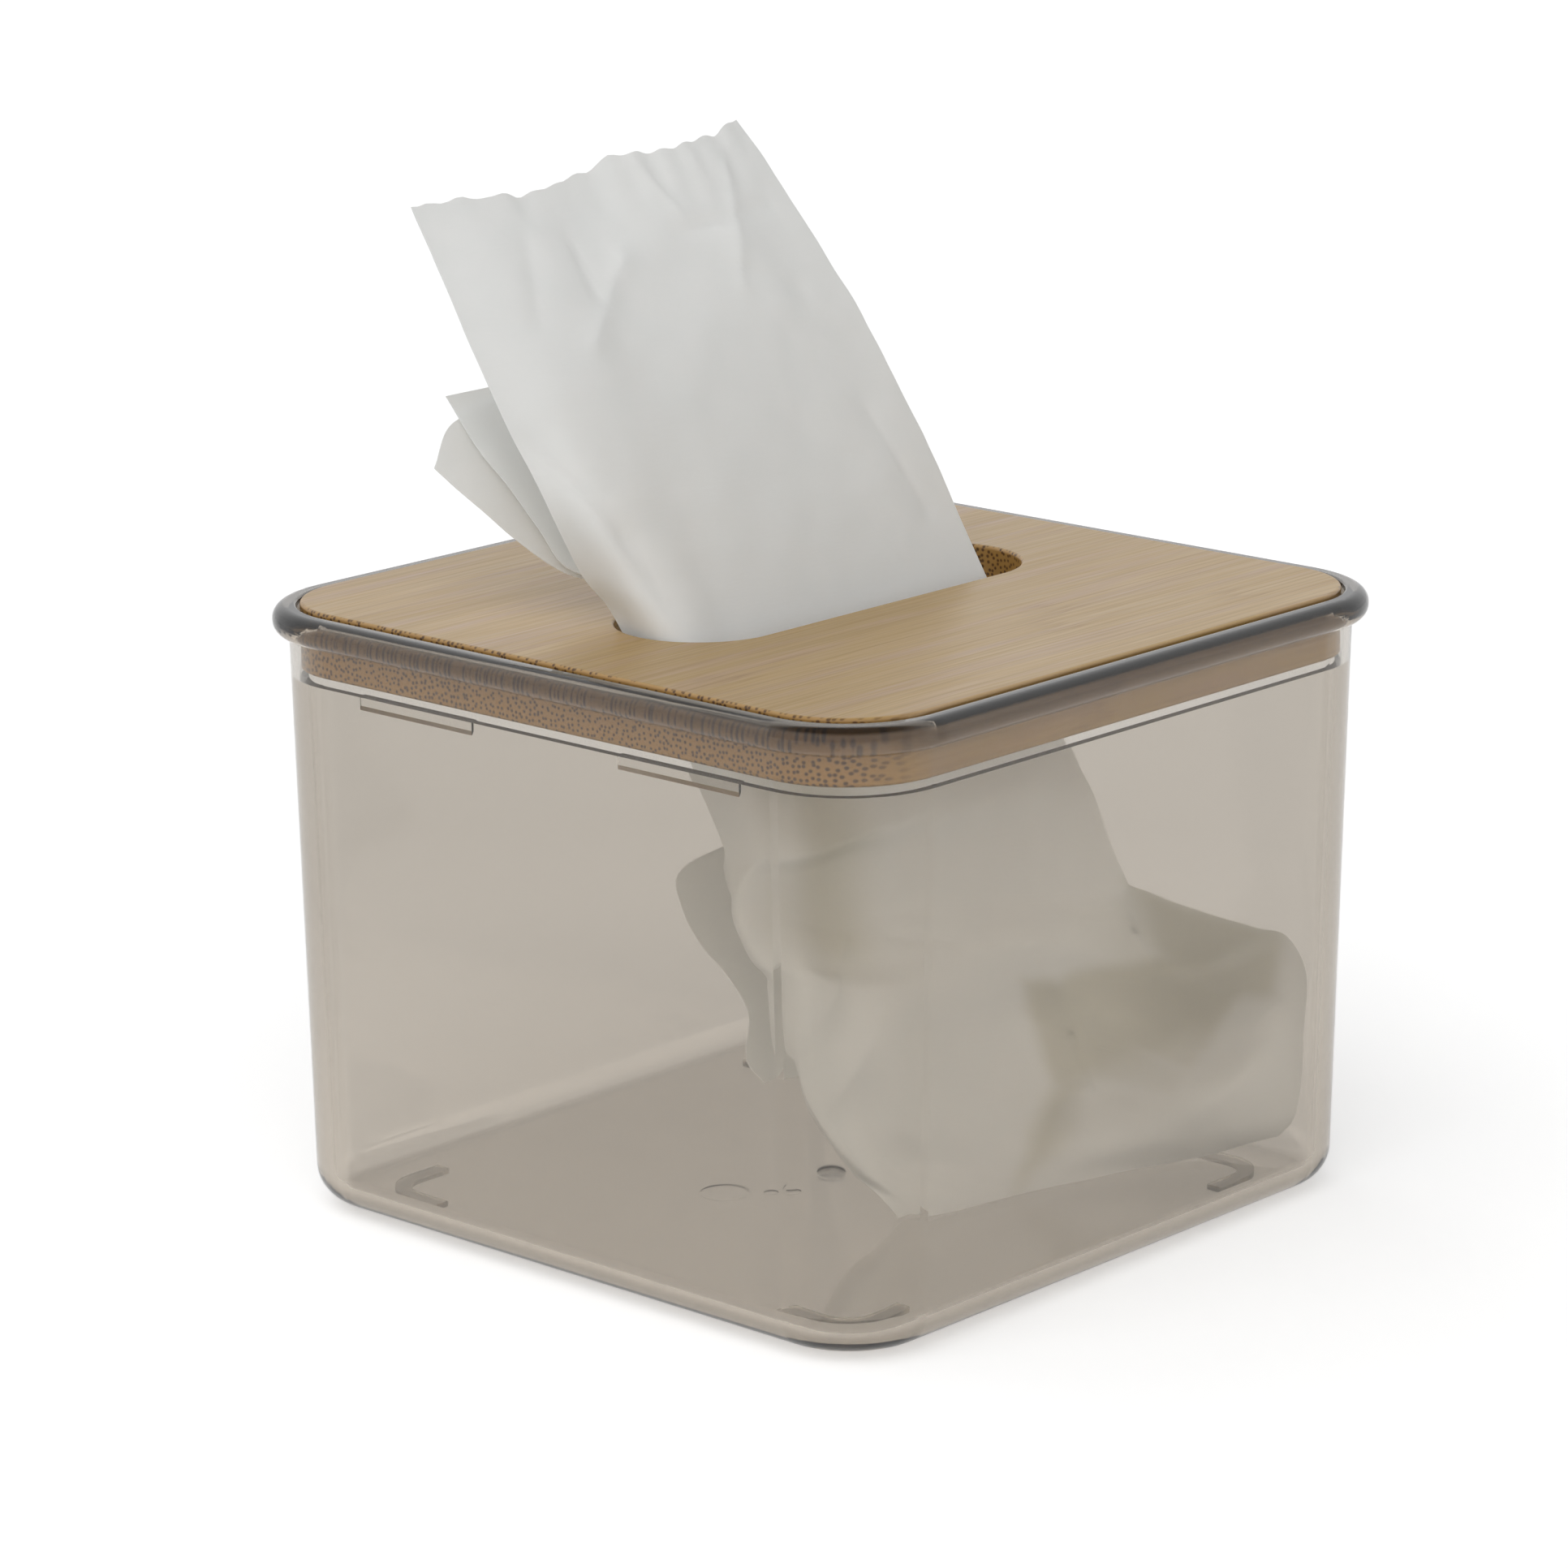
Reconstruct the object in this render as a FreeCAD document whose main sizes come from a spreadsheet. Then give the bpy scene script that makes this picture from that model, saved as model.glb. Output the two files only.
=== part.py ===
"""A tissue box cover: a clear plastic tub, a bamboo lid with a slot, and a tissue drawn through it.

Millimetres, +Z up. The origin is the middle of the underside, on the surface that the tub stands on.
The slot and the bamboo's strips run along X, and the front is towards -Y.
"""

import FreeCAD, Part
import Sketcher
import math
import os
import re

from FreeCAD import Vector

doc = FreeCAD.newDocument("tissue_box_cover")

# Driving dimensions
SIZES = {
    # Tub, over the rim bead
    "box_width": 115.0,
    "box_depth": 115.0,
    "box_height": 85.0,
    "rim_radius": 17.0,
    "bead_height": 4.0,
    "bead_reach": 2.1,
    "bead_flat": 0.2,
    # Tub walls and floor
    "wall_draft": 1.3,
    "lower_wall": 2.4,
    "recess_wall": 1.2,
    "seat_depth": 9.6,
    "floor_thickness": 2.0,
    "base_round": 5.0,
    "inner_round": 3.2,
    "lip_round": 0.4,
    # Tabs under the lid, on the two end walls
    "tab_length": 21.0,
    "tab_height": 2.0,
    "tab_reach": 0.4,
    "tab_edge": 1.4,
    "tab_spacing": 47.4,
    # Corner feet under the floor
    "foot_inset": 10.0,
    "foot_leg": 12.0,
    "foot_width": 2.2,
    "foot_height": 0.8,
    "foot_radius": 6.5,
    # Moulding gate and ejector marks, shallow dishes in the floor
    "gate_diameter": 5.5,
    "gate_depth": 0.4,
    "ejector_diameter": 7.0,
    "ejector_left": 15.0,
    "ejector_rear": 4.0,
    "pin_diameter": 2.0,
    "pin_left": 10.8,
    "pin_front": 0.7,
    "mark_depth": 0.15,
    # Lid
    "lid_clearance": 0.3,
    "seat_gap": 1.2,
    "lid_thickness": 8.8,
    "lid_round": 0.5,
    "slot_length": 71.0,
    "slot_width": 23.0,
    "glue_margin": 1.93,
    # Tissue
    "tissue_thickness": 0.6,
    "tissue_clearance": 0.35,
    "front_clearance": 1.2,
    "panel_width": 68.0,
    "flap_clearance": 5.5,
    "tissue_lift": 5.0,
    "straight_margin": 1.0,
    "back_lean": 26.0,
    "side_lean": 8.0,
    "rear_lean": 39.0,
    "pull_travel": 20.0,
}
OUTER_STRIPS = 6
TOLERANCE = 0.01

sheet = doc.addObject("Spreadsheet::Sheet", "sizes")
for row, (alias, value) in enumerate(SIZES.items(), start=1):
    sheet.set(f"A{row}", alias)
    sheet.set(f"B{row}", str(value))
    sheet.setAlias(f"B{row}", alias)

# Sizes that follow from the driving ones
DERIVED = {
    "seat_level": "=box_height - seat_depth",
    "lid_bottom": "=seat_level + seat_gap",
    "lid_top": "=lid_bottom + lid_thickness",
    "floor_top": "=foot_height + floor_thickness",
    "draft_slope": "=tan(wall_draft * 1deg)",
    "wall_width": "=box_width - 2 * bead_reach",
    "wall_depth": "=box_depth - 2 * bead_reach",
    "wall_radius": "=rim_radius - bead_reach",
    "bead_round": "=min((bead_height - bead_flat) / 2; bead_reach - bead_flat)",
    "base_draw_in": "=(box_height - foot_height) * draft_slope",
    "seat_draw_in": "=seat_depth * draft_slope",
    "floor_draw_in": "=(box_height - floor_top) * draft_slope",
    "base_width": "=wall_width - 2 * base_draw_in",
    "base_depth": "=wall_depth - 2 * base_draw_in",
    "feet_width": "=base_width - 2 * foot_inset",
    "feet_depth": "=base_depth - 2 * foot_inset",
    "recess_width": "=wall_width - 2 * recess_wall",
    "recess_depth": "=wall_depth - 2 * recess_wall",
    "recess_radius": "=wall_radius - recess_wall",
    "cavity_width": "=wall_width - 2 * seat_draw_in - 2 * lower_wall",
    "cavity_depth": "=wall_depth - 2 * seat_draw_in - 2 * lower_wall",
    "cavity_radius": "=wall_radius - seat_draw_in - lower_wall",
    "lid_inset": "=(seat_depth - seat_gap) * draft_slope + lid_clearance",
    "lid_width": "=recess_width - 2 * lid_inset",
    "lid_depth": "=recess_depth - 2 * lid_inset",
    "lid_radius": "=recess_radius - lid_inset",
    "slot_line": "=slot_width / 2 + glue_margin",
    "outer_strip": f"=(lid_depth / 2 - slot_line) / {OUTER_STRIPS}",
}
for row, (alias, formula) in enumerate(DERIVED.items(), start=len(SIZES) + 2):
    sheet.set(f"A{row}", alias)
    sheet.set(f"B{row}", formula)
    sheet.setAlias(f"B{row}", alias)
doc.recompute()


def size(alias):
    """The value of a named size, as a plain number."""
    return float(getattr(sheet, alias))


def origin_plane(body, role):
    """One of a body's own origin planes."""
    return next(plane for plane in body.Origin.OriginFeatures if plane.Role == role)


def new_sketch(body, name, offset, plane="XY_Plane"):
    """A sketch on one of the body's planes, moved off it by a distance given as an expression."""
    sketch = body.newObject("Sketcher::SketchObject", name)
    sketch.AttachmentSupport = [(origin_plane(body, plane), "")]
    sketch.MapMode = "FlatFace"
    sketch.setExpression(".AttachmentOffset.Base.z", offset)
    return sketch


def named(formula):
    """A formula over the sheet's names, as an expression that other objects can hold."""
    names = {*SIZES, *DERIVED}
    return re.sub(r"[a-z_]+", lambda word: f"<<sizes>>.{word[0]}" if word[0] in names else word[0], formula)


def value_of(formula):
    """The number that a formula over the sheet's names stands for."""
    return float(sheet.evalExpression(formula))


def bind(sketch, constraint, formula):
    """Add a dimension to a sketch and bind it to the sheet."""
    index = sketch.addConstraint(constraint)
    sketch.setExpression(f"Constraints[{index}]", named(formula))


def corner_arc(middle_x, middle_y, radius, start_angle):
    """A quarter circle, from the start angle in degrees."""
    circle = Part.Circle(Vector(middle_x, middle_y, 0), Vector(0, 0, 1), radius)
    return Part.ArcOfCircle(circle, math.radians(start_angle), math.radians(start_angle + 90))


def add_rounded_rectangle(sketch, width, depth, radius):
    """Add a rectangle with round corners about the origin: three formulas give its sizes."""
    first = sketch.GeometryCount
    half_x = value_of(width) / 2
    half_y = value_of(depth) / 2
    round_by = value_of(radius)
    inner_x = half_x - round_by
    inner_y = half_y - round_by
    sides = [
        ((-inner_x, -half_y), (inner_x, -half_y)),
        ((half_x, -inner_y), (half_x, inner_y)),
        ((inner_x, half_y), (-inner_x, half_y)),
        ((-half_x, inner_y), (-half_x, -inner_y)),
    ]
    corners = [
        (inner_x, -inner_y, 270),
        (inner_x, inner_y, 0),
        (-inner_x, inner_y, 90),
        (-inner_x, -inner_y, 180),
    ]
    for (start, end), (middle_x, middle_y, angle) in zip(sides, corners):
        sketch.addGeometry(Part.LineSegment(Vector(*start, 0), Vector(*end, 0)), False)
        sketch.addGeometry(corner_arc(middle_x, middle_y, round_by, angle), False)
    for side in range(4):
        line = first + 2 * side
        arc = line + 1
        next_line = first + 2 * ((side + 1) % 4)
        sketch.addConstraint(Sketcher.Constraint("Tangent", line, 2, arc, 1))
        sketch.addConstraint(Sketcher.Constraint("Tangent", arc, 2, next_line, 1))
        sketch.addConstraint(Sketcher.Constraint("Horizontal" if side % 2 == 0 else "Vertical", line))
        if side:
            sketch.addConstraint(Sketcher.Constraint("Equal", first + 1, arc))
    sketch.addConstraint(Sketcher.Constraint("Symmetric", first + 1, 3, first + 5, 3, -1, 1))
    bind(sketch, Sketcher.Constraint("Radius", first + 1, round_by), radius)
    bind(sketch, Sketcher.Constraint("DistanceX", first + 6, 1, first + 2, 1, 2 * half_x), width)
    bind(sketch, Sketcher.Constraint("DistanceY", first, 1, first + 4, 1, 2 * half_y), depth)


def add_rectangle(sketch, left, right, front, rear):
    """Add a rectangle whose four sides lie at the given formulas."""
    first = sketch.GeometryCount
    x_low, x_high, y_low, y_high = (value_of(formula) for formula in (left, right, front, rear))
    points = [(x_low, y_low), (x_high, y_low), (x_high, y_high), (x_low, y_high)]
    for start, end in zip(points, points[1:] + points[:1]):
        sketch.addGeometry(Part.LineSegment(Vector(*start, 0), Vector(*end, 0)), False)
    for side in range(4):
        sketch.addConstraint(Sketcher.Constraint("Coincident", first + side, 2, first + (side + 1) % 4, 1))
        sketch.addConstraint(Sketcher.Constraint("Horizontal" if side % 2 == 0 else "Vertical", first + side))
    bind(sketch, Sketcher.Constraint("DistanceX", -1, 1, first, 1, x_low), left)
    bind(sketch, Sketcher.Constraint("DistanceX", -1, 1, first, 2, x_high), right)
    bind(sketch, Sketcher.Constraint("DistanceY", -1, 1, first, 1, y_low), front)
    bind(sketch, Sketcher.Constraint("DistanceY", -1, 1, first + 2, 1, y_high), rear)


def add_polygon(sketch, corners):
    """Add a closed outline of straight lines, whose corners are pairs of formulas."""
    first = sketch.GeometryCount
    points = [Vector(value_of(across), value_of(along), 0) for across, along in corners]
    for start, end in zip(points, points[1:] + points[:1]):
        sketch.addGeometry(Part.LineSegment(start, end), False)
    for corner, (across, along) in enumerate(corners):
        line = first + corner
        line_before = first + (corner - 1) % len(corners)
        point = points[corner]
        sketch.addConstraint(Sketcher.Constraint("Coincident", line_before, 2, line, 1))
        bind(sketch, Sketcher.Constraint("DistanceX", -1, 1, line, 1, point.x), across)
        bind(sketch, Sketcher.Constraint("DistanceY", -1, 1, line, 1, point.y), along)


def add_slot(sketch, length, width):
    """Add a slot with round ends along X, about the origin."""
    half_width = value_of(width) / 2
    run = value_of(length) / 2 - half_width
    near = Part.LineSegment(Vector(-run, -half_width, 0), Vector(run, -half_width, 0))
    far = Part.LineSegment(Vector(run, half_width, 0), Vector(-run, half_width, 0))
    right_circle = Part.Circle(Vector(run, 0, 0), Vector(0, 0, 1), half_width)
    left_circle = Part.Circle(Vector(-run, 0, 0), Vector(0, 0, 1), half_width)
    right = Part.ArcOfCircle(right_circle, -math.pi / 2, math.pi / 2)
    left = Part.ArcOfCircle(left_circle, math.pi / 2, 1.5 * math.pi)
    for piece in (near, right, far, left):
        sketch.addGeometry(piece, False)
    for side in range(4):
        sketch.addConstraint(Sketcher.Constraint("Tangent", side, 2, (side + 1) % 4, 1))
    sketch.addConstraint(Sketcher.Constraint("Horizontal", 0))
    sketch.addConstraint(Sketcher.Constraint("Symmetric", 1, 3, 3, 3, -1, 1))
    bind(sketch, Sketcher.Constraint("Radius", 1, half_width), f"({width}) / 2")
    bind(sketch, Sketcher.Constraint("DistanceX", 3, 3, 1, 3, 2 * run), f"({length}) - ({width})")


def add_disc(sketch, middle_x, middle_y, diameter):
    """Add a circle whose middle and diameter are formulas."""
    index = sketch.GeometryCount
    x, y, across = (value_of(formula) for formula in (middle_x, middle_y, diameter))
    sketch.addGeometry(Part.Circle(Vector(x, y, 0), Vector(0, 0, 1), across / 2), False)
    bind(sketch, Sketcher.Constraint("DistanceX", -1, 1, index, 3, x), middle_x)
    bind(sketch, Sketcher.Constraint("DistanceY", -1, 1, index, 3, y), middle_y)
    bind(sketch, Sketcher.Constraint("Diameter", index, across), diameter)


def add_pad(body, name, sketch, length, upward=True):
    """Add material from a sketch, up or down."""
    pad = body.newObject("PartDesign::Pad", name)
    pad.Profile = sketch
    pad.Reversed = not upward
    pad.setExpression("Length", named(length))
    return pad


def add_pocket(body, name, sketch, depth, upward=False):
    """Cut from a sketch, down or up, and see that the cut removed something."""
    doc.recompute()
    volume_before = body.Shape.Volume
    pocket = body.newObject("PartDesign::Pocket", name)
    pocket.Profile = sketch
    pocket.Reversed = upward
    pocket.setExpression("Length", named(depth))
    doc.recompute()
    if not body.Shape.Volume < volume_before:
        raise ValueError(f"{name} cuts nothing")
    return pocket


def add_fillet(body, name, radius, is_wanted):
    """Round the edges of the body so far that is_wanted picks by their bounding boxes."""
    doc.recompute()
    base = body.Tip
    edges = enumerate(base.Shape.Edges, start=1)
    names = [f"Edge{index}" for index, edge in edges if is_wanted(edge.BoundBox)]
    fillet = body.newObject("PartDesign::Fillet", name)
    fillet.Base = (base, names)
    fillet.setExpression("Radius", named(radius))
    doc.recompute()
    return fillet


def is_level(box, level):
    """Whether an edge lies flat at a level."""
    return abs(box.ZMin - level) < TOLERANCE and abs(box.ZMax - level) < TOLERANCE


def reaches(box, width, depth):
    """Whether an edge reaches an outline of this width and depth about the origin."""
    across = max(abs(box.XMin), abs(box.XMax))
    along = max(abs(box.YMin), abs(box.YMax))
    return across > width / 2 - TOLERANCE or along > depth / 2 - TOLERANCE


# Tub
def build_container():
    """The moulded tub: drafted walls, a rim bead, a ledge and tabs for the lid, and corner feet."""
    body = doc.addObject("PartDesign::Body", "container")
    body.Label = "container"

    outside = new_sketch(body, "outside_outline", named("foot_height"))
    add_rounded_rectangle(outside, "base_width", "base_depth", "wall_radius - base_draw_in")
    walls = add_pad(body, "walls", outside, "box_height - foot_height")
    walls.setExpression("TaperAngle", named("wall_draft"))
    add_fillet(body, "base_rounding", "base_round", lambda box: is_level(box, size("foot_height")))

    bead = new_sketch(body, "bead_outline", named("box_height"))
    add_rounded_rectangle(bead, "box_width", "box_depth", "rim_radius")
    add_pad(body, "bead", bead, "bead_height", upward=False)
    rim_top = size("box_height")
    bead_levels = (rim_top, rim_top - size("bead_height"))
    rim = (size("box_width"), size("box_depth"))
    add_fillet(
        body,
        "bead_rounding",
        "bead_round",
        lambda box: any(is_level(box, level) for level in bead_levels) and reaches(box, *rim),
    )

    recess = new_sketch(body, "recess_outline", named("box_height"))
    add_rounded_rectangle(recess, "recess_width", "recess_depth", "recess_radius")
    opening = add_pocket(body, "recess", recess, "seat_depth")
    opening.setExpression("TaperAngle", named("-wall_draft"))
    bead_flat = (size("wall_width"), size("wall_depth"))
    add_fillet(
        body, "lip_rounding", "lip_round", lambda box: is_level(box, rim_top) and not reaches(box, *bead_flat)
    )

    cavity = new_sketch(body, "cavity_outline", named("seat_level"))
    add_rounded_rectangle(cavity, "cavity_width", "cavity_depth", "cavity_radius")
    hollow = add_pocket(body, "hollow", cavity, "seat_level - floor_top")
    hollow.setExpression("TaperAngle", named("-wall_draft"))
    add_fillet(body, "floor_rounding", "inner_round", lambda box: is_level(box, size("floor_top")))

    tab_root = "seat_level - tab_edge - (tab_height - tab_edge) * (1 + lower_wall / 4 / tab_reach)"
    for end, label in ((-1, "rear"), (1, "front")):
        tabs = new_sketch(body, f"{label}_tab_profile", named(f"{end} * tab_spacing / 2"), "XZ_Plane")
        for side in (-1, 1):
            inner = f"{side} * (cavity_width / 2 - tab_reach)"
            outer = f"{side} * (cavity_width / 2 + lower_wall / 4)"
            add_polygon(
                tabs,
                [(outer, "seat_level"), (inner, "seat_level"), (inner, "seat_level - tab_edge"), (outer, tab_root)],
            )
        add_pad(body, f"{label}_tabs", tabs, "tab_length").Midplane = True

    feet = new_sketch(body, "foot_ring", "0 mm")
    add_rounded_rectangle(feet, "feet_width", "feet_depth", "foot_radius")
    add_rounded_rectangle(
        feet, "feet_width - 2 * foot_width", "feet_depth - 2 * foot_width", "foot_radius - foot_width"
    )
    add_pad(body, "feet", feet, "foot_height")
    end_gaps = new_sketch(body, "foot_gaps_at_the_ends", "0 mm")
    gap_end = "feet_depth / 2 - foot_leg"
    add_rectangle(end_gaps, "-feet_width", "feet_width", f"-({gap_end})", gap_end)
    add_pocket(body, "end_gaps", end_gaps, "foot_height", upward=True)
    front_gaps = new_sketch(body, "foot_gaps_at_the_front", "0 mm")
    gap_side = "feet_width / 2 - foot_leg"
    add_rectangle(front_gaps, f"-({gap_side})", gap_side, "-feet_depth", "feet_depth")
    add_pocket(body, "front_gaps", front_gaps, "foot_height", upward=True)

    gate = new_sketch(body, "gate_outline", named("floor_top"))
    add_disc(gate, "0", "0", "gate_diameter")
    add_pocket(body, "gate", gate, "gate_depth")
    marks = new_sketch(body, "mark_outlines", named("floor_top"))
    add_disc(marks, "-ejector_left", "ejector_rear", "ejector_diameter")
    add_disc(marks, "-pin_left", "-pin_front", "pin_diameter")
    add_pocket(body, "marks", marks, "mark_depth")
    return body


# Lid
def build_lid_board():
    """The whole lid board, before it is parted into its glued strips."""
    body = doc.addObject("PartDesign::Body", "lid_board")
    outline = new_sketch(body, "lid_outline", named("lid_bottom"))
    add_rounded_rectangle(outline, "lid_width", "lid_depth", "lid_radius")
    add_pad(body, "board", outline, "lid_thickness")
    slot = new_sketch(body, "slot_outline", named("lid_top"))
    add_slot(slot, "slot_length", "slot_width")
    add_pocket(body, "slot", slot, "lid_thickness")
    levels = (size("lid_bottom"), size("lid_top"))
    add_fillet(body, "edge_rounding", "lid_round", lambda box: any(is_level(box, level) for level in levels))
    return body


def build_strip(board, label, front, rear, left, right):
    """One glued strip of the lid: the board between two Y formulas and two X formulas."""
    lane = doc.addObject("Part::Box", f"{label}_lane")
    lane.setExpression("Length", named(f"({right}) - ({left})"))
    lane.setExpression("Width", named(f"({rear}) - ({front})"))
    lane.setExpression("Height", named("lid_thickness"))
    lane.setExpression(".Placement.Base.x", named(left))
    lane.setExpression(".Placement.Base.y", named(front))
    lane.setExpression(".Placement.Base.z", named("lid_bottom"))
    strip = doc.addObject("Part::MultiCommon", label)
    strip.Shapes = [board, lane]
    strip.Label = label
    return strip


def build_strips():
    """All the lid's strips, front to rear. The slot parts the two in the middle into a left and a right."""
    board = build_lid_board()
    end = "lid_width / 2"
    to_rear = ["0", "slot_line / 2"]
    to_rear += [f"slot_line + {count} * outer_strip" for count in range(OUTER_STRIPS + 1)]
    to_front = [f"-({line})" for line in to_rear[:0:-1]]
    lines = to_front + to_rear
    middle = (len(lines) // 2 - 1, len(lines) // 2)
    strips = []
    for index, (front, rear) in enumerate(zip(lines, lines[1:])):
        label = f"lid_strip_{index + 1:02d}"
        if index in middle:
            strips.append(build_strip(board, f"{label}_left", front, rear, f"-{end}", "0"))
            strips.append(build_strip(board, f"{label}_right", front, rear, "0", end))
        else:
            strips.append(build_strip(board, label, front, rear, f"-{end}", end))
    return strips


# Tissue: its folds are drawn in hundredths of the panel's width
fold = size("panel_width") / 100


def side_normal(start, end):
    """The unit vector to the left of the way from one point to the next, seen from above."""
    along = Vector(end.x - start.x, end.y - start.y, 0).normalize()
    return Vector(-along.y, along.x, 0)


def band(points, sags, tilt=0.0):
    """A thin closed outline along a row of arcs, as thick as the tissue.

    The points are the arcs' ends, and each sag, in folds, is how far an arc's middle lies left of its chord.
    A tilt raises the outline towards +X by that slope.
    """
    normals = [side_normal(start, end) for start, end in zip(points, points[1:])]
    at_points = [normals[0]]
    at_points += [(one + other).normalize() for one, other in zip(normals, normals[1:])]
    at_points.append(normals[-1])

    def raised(point):
        return Vector(point.x, point.y, point.z + tilt * (point.x - points[0].x))

    def side(offset):
        ends = [raised(point + normal * offset) for point, normal in zip(points, at_points)]
        middles = [
            raised((start + end) * 0.5 + normal * (sag * fold + offset))
            for start, end, normal, sag in zip(points, points[1:], normals, sags)
        ]
        arcs = [Part.Arc(*triple).toShape() for triple in zip(ends, middles, ends[1:])]
        return ends, arcs

    half = size("tissue_thickness") / 2
    left_ends, left_arcs = side(half)
    right_ends, right_arcs = side(-half)
    last_edge = Part.makeLine(left_ends[-1], right_ends[-1])
    first_edge = Part.makeLine(right_ends[0], left_ends[0])
    return Part.Wire(left_arcs + [last_edge] + right_arcs[::-1] + [first_edge])


def make_tissue(label, sections):
    """A sheet of tissue through its sections, from the lowest to the highest."""
    tissue = doc.addObject("Part::Feature", label)
    tissue.Shape = Part.makeLoft(sections, True, True)
    tissue.Label = label
    tissue.Placement = FreeCAD.Placement()
    return tissue


back_slope = math.tan(math.radians(size("back_lean")))
side_slope = math.tan(math.radians(size("side_lean")))
rear_slope = math.tan(math.radians(size("rear_lean")))
lid_top = size("lid_top")
half_thickness = size("tissue_thickness") / 2
cap_radius = size("slot_width") / 2
cap_middle = size("slot_length") / 2 - cap_radius
seated_radius = cap_radius - size("tissue_clearance") - half_thickness

# The tissue is straight along its lean where it passes the slot, so that it can be drawn up
pull = Vector(-side_slope, back_slope, 1).normalize()
straight_top = size("straight_margin")
straight_bottom = -size("lid_thickness") - size("pull_travel") * pull.z - size("straight_margin")
lowest = size("floor_top") + size("tissue_lift") - lid_top
cavity_x = size("cavity_width") / 2 - size("floor_draw_in")
cavity_y = size("cavity_depth") / 2 - size("floor_draw_in")


def folds(points, back=0.0):
    """Points given in folds, as lengths, moved back by a length."""
    return [(x * fold, y * fold + back) for x, y in points]


def leaning(points, rise, slope=back_slope):
    """Points of a section above or in the slot: they lean with the tissue, by their rise over the lid."""
    return [Vector(x - side_slope * rise, y + slope * rise, lid_top + rise) for x, y in points]


def in_tub(points, share):
    """Points of a section in the tub, at a share of the way up from the floor to the straight stretch."""
    level = lid_top + lowest + share * (straight_bottom - lowest)
    return [Vector(x, y, level) for x, y in points]


def build_tissue_front():
    """The large panel: it hugs the slot's left end, leans back above the lid and spreads out in the tub."""
    near = size("lid_thickness") * back_slope + size("front_clearance") + half_thickness - cap_radius
    end_angle = math.radians(148)
    left_end = (seated_radius * math.cos(end_angle) - cap_middle, seated_radius * math.sin(end_angle))
    in_slot = [
        (cap_middle + 0.21 * seated_radius, near),
        (4.4 * fold, near + 0.4 * fold),
        (-cap_middle, near + 0.3 * fold),
        (-cap_middle - 0.68 * seated_radius, near + 0.35 * seated_radius),
        left_end,
    ]
    flap = (cavity_x - size("flap_clearance"), size("flap_clearance") - cavity_y)
    near_flap = [
        (0.0, [(32, -53), (12, -43), (-2, -38), (-13, -29)], [1.5, -1.5, 1.5, -1.5]),
        (0.3, [(29, -54), (0, -41), (-18, -32), (-31, -21)], [2.9, -2.2, 1.5, -1.5]),
    ]
    below = [
        (0.55, [(65, -60), (26, -48), (-7, -40), (-26, -31), (-40, -19)], [2.9, -2.2, 1.5, -1.5]),
        (0.72, [(49, -40), (15, -41), (-16, -35), (-35, -28), (-49, -16)], [2.2, -1.8, 1.5, -1.5]),
        (0.92, [(46, -30), (10, -31), (-25, -29), (-46, -22), (-54, -13)], [0.9, -0.9, -1.5, -1.5]),
    ]
    above = [
        (11.2, [(38.8, 0.1), (6, -0.1), (-32.2, 0.4), (-49.1, 4), (-52.8, 15.3)], [-0.6, 0.6, -1.5, -1.8], 0),
        (28.8, [(38.8, 0), (8.5, -0.3), (-25.4, 0.9), (-52.8, 1.2), (-60.7, 8.5)], [-0.9, 0.9, -0.7, -1.2], 0),
        (50.9, [(37.9, 0), (10.1, -1.6), (-22.2, 1), (-47.2, 1.6), (-61.9, 7.5)], [-1.2, 1.2, -0.9, -0.9], 0),
        (89.1, [(27.5, 0), (0.7, -2.6), (-25.7, 1), (-44.9, 0.6), (-60.1, 4.1)], [-1.3, 1.3, -1, 0.7], 0.075),
    ]
    slot_sags = [-0.4, 0.4, -1.2, -1.3]
    sections = [band(in_tub([flap] + folds(points), share), sags) for share, points, sags in near_flap]
    sections += [band(in_tub(folds(points), share), sags) for share, points, sags in below]
    sections += [band(leaning(in_slot, rise), slot_sags) for rise in (straight_bottom, straight_top)]
    for rise, points, sags, tilt in above:
        sections.append(band(leaning(folds(points, near), rise * fold), sags, tilt))
    return make_tissue("tissue_front", sections)


def build_tissue_rear():
    """The smaller layer behind: it rests on the slot's far edge and leans back over the lid."""
    in_slot = [
        (cap_middle - 7.4 * fold, seated_radius),
        (-2.9 * fold, seated_radius),
        (4.4 * fold - cap_middle, seated_radius),
    ]
    below = [
        (0.5, [(38.2, -17.6), (-5.9, -10.3), (-44.1, -5.9)], [1.5, -2.2]),
        (0.85, [(33.8, -8.8), (-5.9, -5.9), (-48.5, -1.5)], [0.9, -1.5]),
    ]
    above = [
        (7.4, [(27.5, 0.3), (-7.8, -0.3), (-47.5, 0)], [0.6, -0.7], 0),
        (13.2, [(26.9, 1.3), (-11.3, 0.4), (-57.6, -1)], [0.7, -1], 0),
        (21.2, [(25, 1.9), (-14.7, 0.4), (-61.8, -2.9)], [0.9, -1.2], 0),
        (30.9, [(22.1, 1.5), (-16.2, 0), (-63.8, -1.5)], [0.9, -1.2], 0),
        (41.2, [(19.1, 3.4), (-11.8, 1.9), (-49.4, 0.1)], [0.9, -1.2], 0.05),
    ]
    sections = [band(in_tub(folds(points), share), sags) for share, points, sags in below]
    sections += [band(leaning(in_slot, rise), [-0.07, 0.07]) for rise in (straight_bottom, straight_top)]
    for rise, points, sags, tilt in above:
        sections.append(band(leaning(folds(points, seated_radius), rise * fold, rear_slope), sags, tilt))
    return make_tissue("tissue_rear", sections)


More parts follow.
